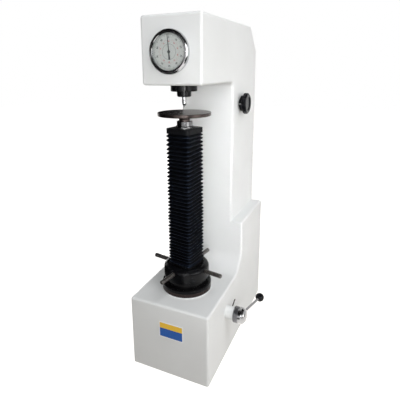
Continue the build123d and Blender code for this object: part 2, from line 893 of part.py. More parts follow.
# --- weights and dashpot ---------------------------------------------------------------
def weight_hanger():
    inner = lever_half_width + 1.0
    outer = inner + stirrup_wall
    low, high = lever_foot - 2 * stirrup_wall - 2, knife_top + fit_gap + 2 * stirrup_wall
    depth = (hanger_y - stirrup_depth / 2, hanger_y + stirrup_depth / 2)
    hanger = block((-outer, outer), depth, (low, high))
    hanger -= block((-inner, inner), (depth[0] - 1, depth[1] + 1),
                    (lever_foot - stirrup_wall, knife_top + fit_gap))
    hanger += post(hanger_rod_radius, hanger_foot, low + 1, 0, hanger_y)
    hanger += post(weight_radius, hanger_foot, hanger_foot_top, 0, hanger_y)
    return hanger


def weights():
    discs = []
    for i in range(weight_count):
        foot = hanger_foot_top + i * weight_height
        disc = post(weight_radius, foot, foot + weight_height - weight_gap, 0, hanger_y)
        discs.append(disc - post(hanger_rod_radius + weight_gap, foot - 1,
                                 foot + weight_height, 0, hanger_y))
    return Compound(children=discs)


def dashpot_piston():
    piston = post(dashpot_radius - dashpot_wall - 2 * running_gap, piston_level,
                  piston_level + piston_height, 0, hanger_y)
    return piston + post(hanger_rod_radius, piston_level, hanger_foot, 0, hanger_y)


def dashpot_cylinder():
    top = dashpot_foot + dashpot_height
    pot = post(dashpot_radius, dashpot_foot, top, 0, hanger_y)
    return pot - post(dashpot_radius - dashpot_wall, dashpot_foot + dashpot_floor,
                      top + 1, 0, hanger_y)


def dashpot_lid():
    foot = dashpot_foot + dashpot_height
    lid = post(dashpot_radius, foot, foot + dashpot_lid_height, 0, hanger_y)
    return lid - post(hanger_rod_radius + 2 * running_gap, foot - 1,
                      foot + dashpot_lid_height + 1, 0, hanger_y)


def dashpot_bracket():
    half = base_half - wall - fit_gap
    return block((-half, half), (hanger_y - tray_depth / 2, hanger_y + tray_depth / 2),
                 (dashpot_foot - tray_thickness, dashpot_foot))


# --- loading handle and its linkage ----------------------------------------------------
def handle_boss():
    inner = base_half - wall
    boss = bar(boss_radius, inner - wall, boss_face, handle_y, handle_z)
    boss += bar(boss_flange_radius, inner - wall, inner, handle_y, handle_z)
    boss -= bar(shaft_radius + running_gap, inner - wall - 1, boss_face + 1,
                handle_y, handle_z)
    start, end = stop_pin_ends(boss_radius - 3.2)
    return boss - rod_between(stop_pin_radius + running_gap, start, end)


def stop_pin_ends(inner):
    x = boss_face - stop_pin_inset
    near = crank_point(handle_y, handle_z, inner, stop_pin_angle)
    far = crank_point(handle_y, handle_z, stop_pin_reach, stop_pin_angle)
    return (x, *near), (x, *far)


def stop_pin():
    return rod_between(stop_pin_radius, *stop_pin_ends(boss_radius - 3.0))


def handle_shaft():
    return bar(shaft_radius, crank_inner, nose_face + nose_straight, handle_y, handle_z)


def hub_collar():
    bore = shaft_radius + 0.02
    outline = [(collar_face, bore), (collar_face, hub_radius - 1),
               (collar_face + 1, hub_radius)]
    step = collar_length / 4
    for i in (1, 2, 3):
        left = collar_face + i * step - groove_width / 2
        outline += [(left, hub_radius), (left, hub_radius - groove_cut),
                    (left + groove_width, hub_radius - groove_cut),
                    (left + groove_width, hub_radius)]
    outline += [(nose_face, hub_radius), (nose_face, bore)]
    return turned_x(outline, handle_y, handle_z)


def handle_points(*shares):
    """Points on the handle rod's axis, at these distances from the shaft's axis."""
    across = sqrt(handle_length ** 2 - handle_tilt_out ** 2 - handle_dip ** 2)
    way = [v / handle_length for v in (handle_tilt_out, across, -handle_dip)]
    root = (handle_offset, handle_y, handle_z)
    return [tuple(r + s * w for r, w in zip(root, way)) for s in shares]


def hub_nose():
    straight = nose_face + nose_straight
    dome = [(straight + (nose_tip - straight) * sin(radians(a)),
             hub_radius * (0.25 + 0.75 * cos(radians(a)))) for a in range(0, 91, 15)]
    nose = turned_x([(nose_face, 0), (nose_face, hub_radius), *dome, (nose_tip, 0)],
                    handle_y, handle_z)
    nose -= bar(shaft_radius + 0.02, nose_face - 1, straight, handle_y, handle_z)
    return nose - rod_between(handle_rod_radius + running_gap,
                              *handle_points(handle_root - 0.5, 2 * hub_radius))


def handle_rod():
    return rod_between(handle_rod_radius,
                       *handle_points(handle_root, handle_length - 3))


def handle_ball():
    centre, start = handle_points(handle_length, handle_length - 2 * ball_knob_radius)
    end, = handle_points(handle_length - 2.5)
    return Pos(*centre) * Sphere(ball_knob_radius) - rod_between(
        handle_rod_radius + running_gap, start, end)


def arm_plate(y, z, head_radius, pin):
    """A crank web: a large eye on the shaft, tapering to a small eye at the pin."""
    head = bar(head_radius, crank_inner, crank_outer, y, z)
    eye = bar(crank_eye_radius, crank_inner, crank_outer, *pin)
    run_y, run_z = pin[0] - y, pin[1] - z
    length = sqrt(run_y ** 2 + run_z ** 2)
    side = (-run_z / length, run_y / length)
    corners = []
    for (cy, cz), radius, signs in (((y, z), head_radius, (1, -1)),
                                    (pin, crank_eye_radius, (-1, 1))):
        corners += [(cy + s * side[0] * radius, cz + s * side[1] * radius) for s in signs]
    web = extrude(Pos(crank_inner, 0, 0) * side_profile(corners), amount=crank_thickness,
                  dir=(1, 0, 0))
    return head + eye + web


def crank_arm():
    pin = crank_point(handle_y, handle_z, crank_throw, crank_rest_angle)
    arm = arm_plate(handle_y, handle_z, crank_head_radius, pin)
    arm += bar(crank_pin_radius, pin_end, crank_inner + 1, *pin)
    return arm - bar(shaft_radius + 0.02, crank_inner - 1, crank_outer + 1,
                     handle_y, handle_z)


def drag_link():
    near = crank_point(handle_y, handle_z, crank_throw, crank_rest_angle)
    far = crank_point(cam_y, cam_z, crank_throw, crank_rest_angle)
    run_y, run_z = far[0] - near[0], far[1] - near[1]
    length = sqrt(run_y ** 2 + run_z ** 2)
    side = (-run_z / length * link_width / 2, run_y / length * link_width / 2)
    corners = [(near[0] + side[0], near[1] + side[1]), (near[0] - side[0], near[1] - side[1]),
               (far[0] - side[0], far[1] - side[1]), (far[0] + side[0], far[1] + side[1])]
    link = extrude(Pos(link_inner, 0, 0) * side_profile(corners), amount=link_thickness,
                   dir=(1, 0, 0))
    for end, slack in ((near, running_gap), (far, link_slack)):
        link += bar(crank_eye_radius, link_inner, link_outer, *end)
        link -= bar(crank_pin_radius + slack, link_inner - 1, link_outer + 1, *end)
    return link


def cam_shaft():
    pin = crank_point(cam_y, cam_z, crank_throw, crank_rest_angle)
    end = base_half - wall - 5.0
    shaft = bar(cam_shaft_radius, cam_shaft_end, end, cam_y, cam_z)
    shaft += arm_plate(cam_y, cam_z, crank_head_radius - 2, pin)
    return shaft + bar(crank_pin_radius, pin_end, crank_inner + 1, *pin)


def lift_cam():
    y, z = crank_point(cam_y, cam_z, cam_throw, cam_rest_angle)
    left = cam_shaft_end + 2
    cam = bar(cam_radius, left, left + cam_width, y, z)
    return cam - bar(cam_shaft_radius + 0.02, left - 1, left + cam_width + 1, cam_y, cam_z)


def cam_bracket():
    outer = base_half - wall
    half_y, half_z = cam_bracket_depth / 2, cam_bracket_height / 2
    bracket = block((outer - cam_bracket_width, outer), (cam_y - half_y, cam_y + half_y),
                    (cam_z - half_z, cam_z + half_z))
    return bracket - bar(cam_shaft_radius + running_gap, outer - cam_bracket_width - 1,
                         outer - 4, cam_y, cam_z)


# --- load selector ---------------------------------------------------------------------
def selector_bush():
    inner = column_half - wall
    bush = bar(bush_radius, column_half - bush_reach - wall, column_half,
               selector_y, selector_z)
    bush += bar(bush_flange_radius, inner - bush_flange_thickness, inner,
                selector_y, selector_z)
    return bush - bar(selector_shaft_radius + running_gap, 0, column_half + 1,
                      selector_y, selector_z)


def selector_shaft():
    tip = skirt_face + knob_neck_length + 2
    shaft = bar(selector_shaft_radius, selector_shaft_end, tip, selector_y, selector_z)
    cam_left = selector_shaft_end + 2
    cam_y_place, cam_z_place = crank_point(selector_y, selector_z, selector_cam_throw, 90)
    return shaft + bar(selector_cam_radius, cam_left, cam_left + selector_cam_width,
                       cam_y_place, cam_z_place)


def selector_skirt():
    left, right = column_half + fit_gap, skirt_face
    back = right - skirt_thickness
    skirt = turned_x([(left, 0), (left, skirt_hub_radius), (back, skirt_hub_radius),
                      (back, skirt_radius), (right - 1.5, skirt_radius),
                      (right, skirt_radius - 1.5), (right, 0)], selector_y, selector_z)
    return skirt - bar(selector_shaft_radius + 0.02, left - 1, right + 1,
                       selector_y, selector_z)


def selector_knob():
    left = skirt_face
    step = left + knob_neck_length
    right = step + knob_rim_length
    knob = turned_x([
        (left, 0), (left, knob_neck_radius), (step, knob_neck_radius),
        (step, knob_radius - 1.5), (step + 1.5, knob_radius), (right - 3, knob_radius),
        (right, knob_radius - 4), (right, knob_dish_radius),
        (right - knob_dish_depth, knob_dish_radius - 4), (right - knob_dish_depth, 0)],
        selector_y, selector_z)
    reach = knob_radius + flute_radius - flute_depth
    for i in range(flute_count):
        y, z = crank_point(selector_y, selector_z, reach, i * 360 / flute_count)
        knob -= bar(flute_radius, step - 1, right + 1, y, z)
    return knob - bar(selector_shaft_radius + 0.02, left - 1, left + knob_neck_length + 2,
                      selector_y, selector_z)


# --- all nodes -------------------------------------------------------------------------
nodes = {
    "main_frame": main_frame,
    "top_cover": top_cover,
    "top_cover_screws": top_cover_screws,
    "rear_cover": rear_cover,
    "rear_cover_screws": rear_cover_screws,
    "base_ring": base_ring,
    "thrust_race_lower": lambda: race(race_seat, lower_race_height),
    "thrust_race_upper": lambda: race(upper_race_seat, upper_race_height),
    "thrust_balls": thrust_balls,
    "screw_sleeve": screw_sleeve,
    "guide_key": guide_key,
    "elevating_screw": elevating_screw,
    "screw_head": screw_head,
    "anvil": anvil,
    "lifting_nut": lifting_nut,
    "capstan_wheel": capstan_wheel,
    "capstan_lock_ring": capstan_lock_ring,
    "capstan_spokes": capstan_spokes,
    "bellows": bellows,
    "bellows_base_frame": bellows_base_frame,
    "bellows_cap": bellows_cap,
    "spindle_guide": spindle_guide,
    "guide_lock_nut": guide_lock_nut,
    "spindle": spindle,
    "indenter": indenter,
    "indenter_lock_screw": indenter_lock_screw,
    "main_lever": main_lever,
    "knife_edges": knife_edges,
    "fulcrum_bracket": fulcrum_bracket,
    "fulcrum_seat": fulcrum_seat,
    "indicator_arm": indicator_arm,
    "indicator_plunger": indicator_plunger,
    "dial_case": dial_case,
    "dial_bezel": dial_bezel,
    "dial_glass": dial_glass,
    "dial_face": dial_face,
    "pointer": pointer,
    "pointer_shaft": pointer_shaft,
    "weight_hanger": weight_hanger,
    "weights": weights,
    "dashpot_piston": dashpot_piston,
    "dashpot_cylinder": dashpot_cylinder,
    "dashpot_lid": dashpot_lid,
    "dashpot_bracket": dashpot_bracket,
    "handle_boss": handle_boss,
    "stop_pin": stop_pin,
    "handle_shaft": handle_shaft,
    "hub_collar": hub_collar,
    "hub_nose": hub_nose,
    "handle_rod": handle_rod,
    "handle_ball": handle_ball,
    "crank_arm": crank_arm,
    "drag_link": drag_link,
    "cam_shaft": cam_shaft,
    "lift_cam": lift_cam,
    "cam_bracket": cam_bracket,
    "selector_bush": selector_bush,
    "selector_shaft": selector_shaft,
    "selector_skirt": selector_skirt,
    "selector_knob": selector_knob,
}

os.makedirs("parts", exist_ok=True)
for name, build in nodes.items():
    save(build(), name)
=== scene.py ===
import math
import random

import bpy
from mathutils import Matrix, Vector


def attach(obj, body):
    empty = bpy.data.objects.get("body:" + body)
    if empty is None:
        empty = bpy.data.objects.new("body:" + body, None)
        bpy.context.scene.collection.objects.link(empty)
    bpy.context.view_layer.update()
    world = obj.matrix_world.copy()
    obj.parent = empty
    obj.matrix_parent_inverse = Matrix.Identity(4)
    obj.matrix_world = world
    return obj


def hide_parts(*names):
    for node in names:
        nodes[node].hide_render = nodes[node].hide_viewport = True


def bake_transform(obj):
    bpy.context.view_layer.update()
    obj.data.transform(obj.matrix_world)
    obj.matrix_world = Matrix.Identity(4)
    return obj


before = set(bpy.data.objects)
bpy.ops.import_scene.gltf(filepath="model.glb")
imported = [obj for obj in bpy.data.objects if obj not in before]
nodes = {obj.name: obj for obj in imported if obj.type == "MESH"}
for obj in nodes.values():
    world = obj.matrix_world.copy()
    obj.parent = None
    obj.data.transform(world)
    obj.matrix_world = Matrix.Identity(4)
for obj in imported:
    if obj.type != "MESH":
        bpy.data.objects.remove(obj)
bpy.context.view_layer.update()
print("frame loaded,", len(nodes), "nodes")

mm = 0.001
weld = 0.002 * mm  # points nearer to each other than this become one
slack = 0.01 * mm  # for telling whether two places are the same
quarter = math.pi / 2


# small helpers for modelling
def toEdit():
    bpy.ops.object.mode_set(mode="EDIT")


def toObject():
    bpy.ops.object.mode_set(mode="OBJECT")


def clearPick():
    if bpy.context.object and bpy.context.object.mode != "OBJECT":
        toObject()
    bpy.ops.object.select_all(action="DESELECT")


def onlyPick(piece):
    clearPick()
    piece.select_set(True)
    bpy.context.view_layer.objects.active = piece


def pickAll():
    bpy.ops.mesh.select_all(action="SELECT")


def pickBy(piece, kind, test):
    # selects the edges or faces that pass the test, which gets each item and its centre
    toEdit()
    bpy.ops.mesh.select_mode(type=kind)
    bpy.ops.mesh.select_all(action="DESELECT")
    toObject()
    mesh = piece.data
    for item in mesh.edges if kind == "EDGE" else mesh.polygons:
        if kind == "EDGE":
            centre = (mesh.vertices[item.vertices[0]].co + mesh.vertices[item.vertices[1]].co) / 2
        else:
            centre = item.center
        item.select = bool(test(item, centre))
    toEdit()


def facesFront(face):
    return face.normal.y < -0.9


def settle(piece, smooth=30):
    # the place goes into the mesh, and edges under the angle are shaded smooth
    onlyPick(piece)
    bpy.ops.object.transform_apply(location=True, rotation=True, scale=True)
    bpy.ops.object.shade_smooth_by_angle(angle=math.radians(smooth))


def giveWall(piece, thickness):
    # a sheet gets its thickness behind its faces
    onlyPick(piece)
    wall = piece.modifiers.new("wall", "SOLIDIFY")
    wall.thickness = thickness
    wall.offset = -1
    bpy.ops.object.modifier_apply(modifier=wall.name)


def joinPieces(pieces, name):
    clearPick()
    for piece in pieces:
        piece.select_set(True)
    bpy.context.view_layer.objects.active = pieces[0]
    bpy.ops.object.join()
    joined = bpy.context.object
    joined.name = name
    return joined


# small helpers for materials
noiseRange = (0.3, 0.7)  # most of a noise lies between these


def newMaterial(name):
    material = bpy.data.materials.new(name)
    material.use_nodes = True
    tree = material.node_tree
    tree.nodes.clear()
    output = tree.nodes.new("ShaderNodeOutputMaterial")
    shader = tree.nodes.new("ShaderNodeBsdfPrincipled")
    tree.links.new(shader.outputs["BSDF"], output.inputs["Surface"])
    return material, tree, shader


def setValues(shader, values):
    for name, value in values.items():
        shader.inputs[name].default_value = value


def objectPlace(tree, scale=(1, 1, 1), shift=(0, 0, 0)):
    place = tree.nodes.new("ShaderNodeTexCoord")
    mapping = tree.nodes.new("ShaderNodeMapping")
    mapping.inputs["Scale"].default_value = scale
    mapping.inputs["Location"].default_value = shift
    tree.links.new(place.outputs["Object"], mapping.inputs["Vector"])
    return mapping.outputs["Vector"]


def noise(tree, vector, scale, detail=4.0, roughness=0.55):
    node = tree.nodes.new("ShaderNodeTexNoise")
    node.inputs["Scale"].default_value = scale
    node.inputs["Detail"].default_value = detail
    node.inputs["Roughness"].default_value = roughness
    tree.links.new(vector, node.inputs["Vector"])
    return node.outputs["Fac"]


def mapRange(tree, value, fromRange, toRange=(0, 1)):
    node = tree.nodes.new("ShaderNodeMapRange")
    node.inputs["From Min"].default_value, node.inputs["From Max"].default_value = fromRange
    node.inputs["To Min"].default_value, node.inputs["To Max"].default_value = toRange
    tree.links.new(value, node.inputs["Value"])
    return node.outputs["Result"]


def giveTone(tree, shader, factor, dark, light, between=noiseRange):
    # the base colour wanders between two tones
    ramp = tree.nodes.new("ShaderNodeValToRGB")
    for element, place, colour in zip(ramp.color_ramp.elements, between, (dark, light)):
        element.position = place
        element.color = (*colour, 1)
    tree.links.new(factor, ramp.inputs["Fac"])
    tree.links.new(ramp.outputs["Color"], shader.inputs["Base Color"])


def layColour(tree, shader, factor, colour):
    # lays a colour over the base colour where the factor is 1
    mix = tree.nodes.new("ShaderNodeMix")
    mix.data_type = "RGBA"
    mix.inputs["B"].default_value = (*colour, 1)
    below = shader.inputs["Base Color"].links[0].from_socket
    tree.links.new(factor, mix.inputs["Factor"])
    tree.links.new(below, mix.inputs["A"])
    tree.links.new(mix.outputs["Result"], shader.inputs["Base Color"])


def giveRoughness(tree, shader, factor, rough):
    tree.links.new(mapRange(tree, factor, noiseRange, rough), shader.inputs["Roughness"])


def addBump(tree, shader, height, strength, distance, under=None):
    node = tree.nodes.new("ShaderNodeBump")
    node.inputs["Strength"].default_value = strength
    node.inputs["Distance"].default_value = distance
    tree.links.new(height, node.inputs["Height"])
    if under is not None:
        tree.links.new(under, node.inputs["Normal"])
    tree.links.new(node.outputs["Normal"], shader.inputs["Normal"])
    return node.outputs["Normal"]


# camera
cameraView = {"place": (0.470484, -0.969273, 0.887214), "yaw": 0.438090, "pitch": 0.241167,
              "roll": -0.011952, "lens": 34.236, "sensor": 36, "shiftX": 0.024414,
              "shiftY": -0.092183, "reach": 50}


def makeCamera(view):
    bpy.ops.object.camera_add(location=view["place"])
    camera = bpy.context.object
    camera.name = "camera"
    turn = (Matrix.Rotation(view["yaw"], 4, "Z")
            @ Matrix.Rotation(quarter - view["pitch"], 4, "X")
            @ Matrix.Rotation(view["roll"], 4, "Z"))
    camera.rotation_euler = turn.to_euler()
    camera.data.sensor_width = view["sensor"]
    camera.data.lens = view["lens"]
    camera.data.shift_x = view["shiftX"]
    camera.data.shift_y = view["shiftY"]
    camera.data.clip_end = view["reach"]
    bpy.context.scene.camera = camera


clearPick()
makeCamera(cameraView)
print("camera placed")

# studio: a pale floor, a white world, soft lamps, and black cards for reflections
studio = {"floorSize": 16.0, "floorColour": (0.66, 0.62, 0.57), "floorGlow": 0.87,
          "worldLight": 0.29, "cardBlack": (0.01, 0.01, 0.01)}
lamps = {
    "keyRight": {"place": (2.5, -0.72, 0.85), "aim": (0.08, 0.1, 0.45), "size": (1.4, 1.4),
                 "power": 16.5, "colour": (1.0, 0.99, 0.975), "spread": 180},
    "frontSoft": {"place": (0.55, -1.45, 1.1), "aim": (0.03, 0, 0.86), "size": (0.8, 0.8),
                  "power": 2.4, "colour": (0.97, 0.99, 1.0), "spread": 80},
    "topSoft": {"place": (1.4, -0.5, 2.9), "aim": (0, 0.1, 0.6), "size": (1.6, 1.6),
                "power": 34, "colour": (0.97, 0.985, 1.0), "spread": 180},
    "backFill": {"place": (-1.8, 2.2, 0.11), "aim": (0, 0.2, 0.4), "size": (1.6, 0.2),
                 "power": 10, "colour": (1.0, 1.0, 1.0), "spread": 120},
    "throatBeam": {"place": (1.2, -1.75, 0.62), "aim": (0.07, 0.165, 0.56), "size": (0.4, 0.6),
                   "power": 0.32, "colour": (1.0, 1.0, 1.0), "spread": 14},
}
lying = (0, 0, 0)
acrossX = (0, quarter, 0)
acrossY = (quarter, 0, 0)
flags = {
    "flagAbove": {"place": (0, 0, 2.3), "size": (6, 6), "turn": lying},
    "flagBelow": {"place": (-2.4, 0, 0.004), "size": (5, 5), "turn": lying},
    "flagRight": {"place": (2.1, -0.6, 0.004), "size": (2.4, 4.5), "turn": lying},
    "flagLeft": {"place": (-2.6, -0.4, 1.0), "size": (1.9, 2.6), "turn": acrossX},
    "flagBackLeft": {"place": (-2.4, 2.5, 1.3), "size": (2.4, 1.8), "turn": acrossY},
    "flagFrontMid": {"place": (-1.25, -2.5, 0.97), "size": (0.8, 0.56), "turn": acrossY},
    "flagFrontHigh": {"place": (-1.0, -2.5, 1.95), "size": (4.4, 1.5), "turn": acrossY},
    "flagFrontLow": {"place": (-2.3, -2.5, 0.37), "size": (3.0, 0.7), "turn": acrossY},
}


def makeLamp(name, lamp):
    bpy.ops.object.light_add(type="AREA", location=lamp["place"])
    light = bpy.context.object
    light.name = name
    light.data.shape = "RECTANGLE"
    light.data.size, light.data.size_y = lamp["size"]
    light.data.energy = lamp["power"]
    light.data.color = lamp["colour"]
    light.data.spread = math.radians(lamp["spread"])
    way = Vector(lamp["aim"]) - Vector(lamp["place"])
    light.rotation_euler = way.to_track_quat("-Z", "Y").to_euler()


def seenDirectly(tree):
    # 1 for camera, glossy and transmission rays, 0 for the light that falls on the object
    path = tree.nodes.new("ShaderNodeLightPath")
    seen = path.outputs["Is Camera Ray"]
    for ray in ("Is Glossy Ray", "Is Transmission Ray"):
        either = tree.nodes.new("ShaderNodeMath")
        either.operation = "MAXIMUM"
        tree.links.new(seen, either.inputs[0])
        tree.links.new(path.outputs[ray], either.inputs[1])
        seen = either.outputs[0]
    return seen


def makeFloor(values):
    bpy.ops.mesh.primitive_plane_add(size=values["floorSize"], location=(0, 0, 0))
    floor = bpy.context.object
    floor.name = "studio_floor"
    material = bpy.data.materials.new("studioFloor")
    material.use_nodes = True
    tree = material.node_tree
    tree.nodes.clear()
    output = tree.nodes.new("ShaderNodeOutputMaterial")
    surface = tree.nodes.new("ShaderNodeBsdfDiffuse")
    surface.inputs["Color"].default_value = (*values["floorColour"], 1)
    glow = tree.nodes.new("ShaderNodeEmission")
    strength = mapRange(tree, seenDirectly(tree), (0, 1), (0, values["floorGlow"]))
    tree.links.new(strength, glow.inputs["Strength"])
    both = tree.nodes.new("ShaderNodeAddShader")
    tree.links.new(surface.outputs[0], both.inputs[0])
    tree.links.new(glow.outputs[0], both.inputs[1])
    tree.links.new(both.outputs[0], output.inputs["Surface"])
    floor.data.materials.append(material)


def makeWorld(values):
    world = bpy.data.worlds.new("studioWorld")
    bpy.context.scene.world = world
    world.use_nodes = True
    tree = world.node_tree
    tree.nodes.clear()
    output = tree.nodes.new("ShaderNodeOutputWorld")
    background = tree.nodes.new("ShaderNodeBackground")
    background.inputs["Color"].default_value = (1, 1, 1, 1)
    strength = mapRange(tree, seenDirectly(tree), (0, 1), (values["worldLight"], 1))
    tree.links.new(strength, background.inputs["Strength"])
    tree.links.new(background.outputs[0], output.inputs["Surface"])


def makeFlag(name, flag, colour):
    # a black card that shows only in reflections
    bpy.ops.mesh.primitive_plane_add(size=1, location=flag["place"], rotation=flag["turn"])
    card = bpy.context.object
    card.name = name
    card.scale = (*flag["size"], 1)
    for ray in ("camera", "diffuse", "transmission", "shadow", "volume_scatter"):
        setattr(card, "visible_" + ray, False)
    material = bpy.data.materials.new(name)
    material.use_nodes = True
    shader = material.node_tree.nodes["Principled BSDF"]
    setValues(shader, {"Base Color": (*colour, 1), "Specular IOR Level": 0.0})
    card.data.materials.append(material)


bpy.context.scene.view_settings.view_transform = "Standard"
makeFloor(studio)
makeWorld(studio)
for name, flag in flags.items():
    makeFlag(name, flag, studio["cardBlack"])
for name, lamp in lamps.items():
    makeLamp(name, lamp)
print("studio lit")


# materials
def whiteEnamel():
    # sprayed enamel over filled cast iron: faint waves, fine orange peel, slight grey patches
    material, tree, shader = newMaterial("whiteEnamel")
    setValues(shader, {"Specular IOR Level": 0.16})
    place = objectPlace(tree)
    giveTone(tree, shader, noise(tree, place, scale=5.0, detail=3.0),
             dark=(0.795, 0.805, 0.80), light=(0.835, 0.845, 0.845))
    giveRoughness(tree, shader, noise(tree, place, scale=22.0, detail=3.0), (0.38, 0.52))
    waves = addBump(tree, shader, noise(tree, place, scale=16.0, detail=2.0),
                    strength=0.10, distance=0.002)
    addBump(tree, shader, noise(tree, place, scale=620.0, detail=2.0),
            strength=0.10, distance=0.0002, under=waves)
    return material


def metal(name, dark, light, rough, grain=900.0, bump=0.12, metallic=1.0):
    # ground, blasted or cast metal: slight patches and a fine even grain
    material, tree, shader = newMaterial(name)
    setValues(shader, {"Metallic": metallic})
    place = objectPlace(tree)
    giveTone(tree, shader, noise(tree, place, scale=30.0), dark, light)
    grains = noise(tree, place, scale=grain, detail=3.0, roughness=0.6)
    giveRoughness(tree, shader, grains, rough)
    addBump(tree, shader, grains, bump, distance=0.0001)
    return material


def turnedMetal(name, dark, light, rough, axis="Z", centre=(0, 0, 0), metallic=1.0):
    # metal off the lathe: rings round an axis
    material, tree, shader = newMaterial(name)
    setValues(shader, {"Metallic": metallic})
    squeeze = tuple(0 if letter == axis else 1 for letter in "XYZ")
    away = tree.nodes.new("ShaderNodeVectorMath")
    away.operation = "LENGTH"
    shift = tuple(-c * s for c, s in zip(centre, squeeze))
    tree.links.new(objectPlace(tree, squeeze, shift), away.inputs[0])
    place = objectPlace(tree)
    along = tree.nodes.new("ShaderNodeSeparateXYZ")
    tree.links.new(place, along.inputs[0])
    mixed = tree.nodes.new("ShaderNodeCombineXYZ")
    tree.links.new(away.outputs["Value"], mixed.inputs["X"])
    tree.links.new(along.outputs[axis], mixed.inputs["Y"])
    rings = noise(tree, mixed.outputs[0], scale=2600.0, detail=2.0, roughness=0.6)
    giveTone(tree, shader, noise(tree, place, scale=26.0), dark, light)
    giveRoughness(tree, shader, rings, rough)
    addBump(tree, shader, rings, strength=0.25, distance=0.00008)
    return material


def smoothBlack(name, dark, light, rough, grain, bump, shine):
    # black enamel and moulded black
    material, tree, shader = newMaterial(name)
    setValues(shader, {"Specular IOR Level": shine})
    place = objectPlace(tree)
    giveTone(tree, shader, noise(tree, place, scale=40.0), dark, light)
    giveRoughness(tree, shader, noise(tree, place, scale=120.0), rough)
    addBump(tree, shader, noise(tree, place, scale=grain, detail=2.0), bump, distance=0.0002)
    return material


def brownedFoot(name, dark, light, brown, level, fade):
    # black enamel with a browned, bare foot below a level
    material = smoothBlack(name, dark, light, (0.18, 0.30), grain=700.0, bump=0.08, shine=0.18)
    tree = material.node_tree
    height = tree.nodes.new("ShaderNodeSeparateXYZ")
    tree.links.new(objectPlace(tree), height.inputs[0])
    foot = mapRange(tree, height.outputs["Z"], (level + fade, level))
    layColour(tree, tree.nodes["Principled BSDF"], foot, brown)
    return material


def bellowsCloth():
    # coated cloth: fine weave, wrinkles, bluish sheen, dusty patches, and painted bluish
    # highlights along the fold ridges
    material, tree, shader = newMaterial("bellowsCloth")
    setValues(shader, {"Specular IOR Level": 0.07, "Sheen Weight": 0.03, "Sheen Roughness": 0.4,
                       "Sheen Tint": (0.62, 0.72, 0.95, 1)})
    place = objectPlace(tree)
    giveTone(tree, shader, noise(tree, place, scale=35.0, detail=5.0, roughness=0.65),
             dark=(0.0008, 0.0009, 0.0013), light=(0.0026, 0.0032, 0.0054), between=(0.35, 0.75))
    giveRoughness(tree, shader, noise(tree, place, scale=90.0, detail=3.0), (0.34, 0.55))
    weave = tree.nodes.new("ShaderNodeTexWave")
    setValues(weave, {"Scale": 420.0, "Distortion": 1.5})
    tree.links.new(place, weave.inputs["Vector"])
    wrinkles = addBump(tree, shader, noise(tree, place, scale=70.0), strength=0.35,
                       distance=0.0008)
    addBump(tree, shader, weave.outputs["Fac"], strength=0.12, distance=0.0001, under=wrinkles)
    # painted highlight: the sharp ridges of the folds get a lighter bluish colour for the light
    # they catch
    shape = tree.nodes.new("ShaderNodeNewGeometry")
    paintedRidgeHighlight = mapRange(tree, shape.outputs["Pointiness"], (0.52, 0.62))
    layColour(tree, shader, paintedRidgeHighlight, (0.028, 0.040, 0.068))
    return material


def clearGlass():
    material, _, shader = newMaterial("dialGlass")
    setValues(shader, {"Base Color": (0.96, 0.98, 0.98, 1), "Roughness": 0.02, "IOR": 1.45,
                       "Transmission Weight": 1.0})
    return material


inkMottle = {"gain": 1.12, "lift": 0.004}


def plainInk(name, colour, rough=0.55):
    # printed colour, a little lighter in places
    material, tree, shader = newMaterial(name)
    light = tuple(min(1, c * inkMottle["gain"] + inkMottle["lift"]) for c in colour)
    giveTone(tree, shader, noise(tree, objectPlace(tree), scale=300.0), colour, light)
    setValues(shader, {"Roughness": rough})
    return material


